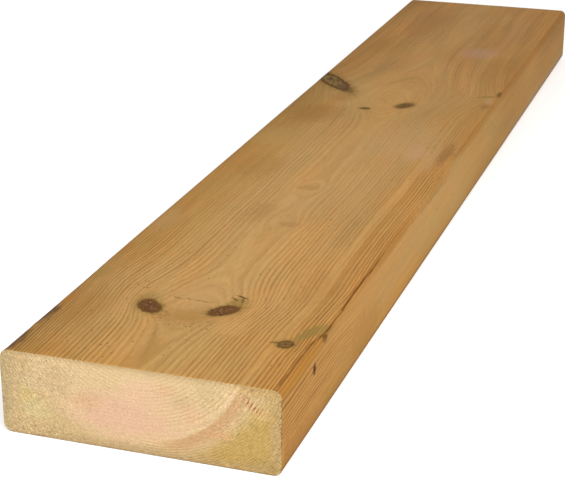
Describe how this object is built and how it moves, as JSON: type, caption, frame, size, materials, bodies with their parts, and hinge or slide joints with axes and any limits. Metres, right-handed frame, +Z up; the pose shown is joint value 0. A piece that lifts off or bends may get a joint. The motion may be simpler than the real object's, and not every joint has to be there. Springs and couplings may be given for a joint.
{
  "type": "timber plank",
  "caption": "Flat length of planed, treated softwood with rounded long edges and square-sawn ends, used as a joist, rail, tread or framing board.",
  "frame": {"origin": "middle of the wide face that the plank lies on", "axes": "+X across the width, +Y along the length and the grain, +Z up through the thickness"},
  "size_m": [0.145, 0.8, 0.045],
  "materials": {
    "timber": "planed golden-brown treated pine with dark knots; the sawn ends are pale and show the growth rings"
  },
  "bodies": {
    "root": {"plank": "timber"}
  },
  "joints": []
}
